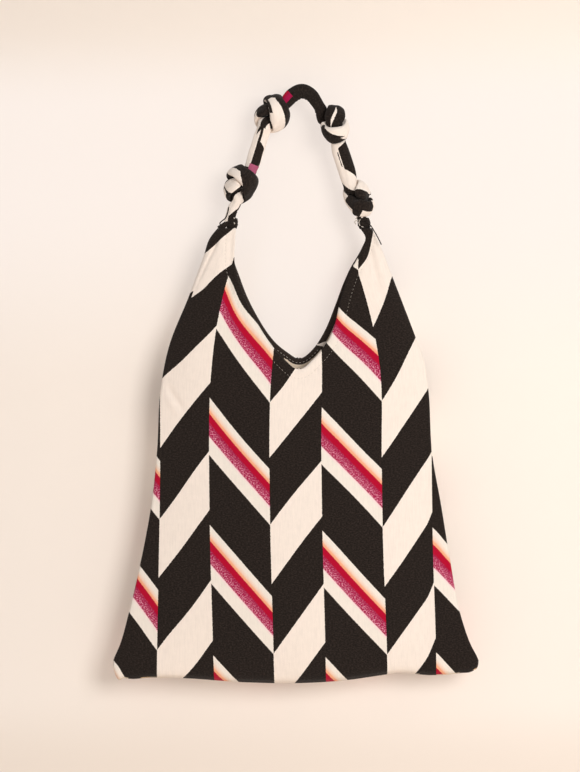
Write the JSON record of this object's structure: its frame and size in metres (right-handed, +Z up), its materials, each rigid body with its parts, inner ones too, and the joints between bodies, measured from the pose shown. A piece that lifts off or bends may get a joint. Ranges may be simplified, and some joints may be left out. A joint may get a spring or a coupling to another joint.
{
  "type": "tote bag",
  "caption": "Slouchy cloth tote bag with a deep scooped neck, flared base, gathered ears and one rolled shoulder strap tied in overhand knots.",
  "frame": {"origin": "underside of the strap at the top of its arch, where the bag hangs", "axes": "+Z up along the hanging bag, +X to the right and +Y to the back as the bag is seen from its front"},
  "size_m": [0.4, 0.0409, 0.6541],
  "materials": {
    "panel_cloth": "matt heavy cotton weave in cream and black with crimson, magenta and peach stripes",
    "strap_cloth": "the same cotton weave, rolled, mostly black with cream patches",
    "join_thread": "matt black cotton thread"
  },
  "bodies": {
    "root": {"front_panel": "panel_cloth", "back_panel": "panel_cloth", "knotted_strap": "strap_cloth", "strap_join_left": "join_thread", "strap_join_right": "join_thread"}
  },
  "joints": []
}
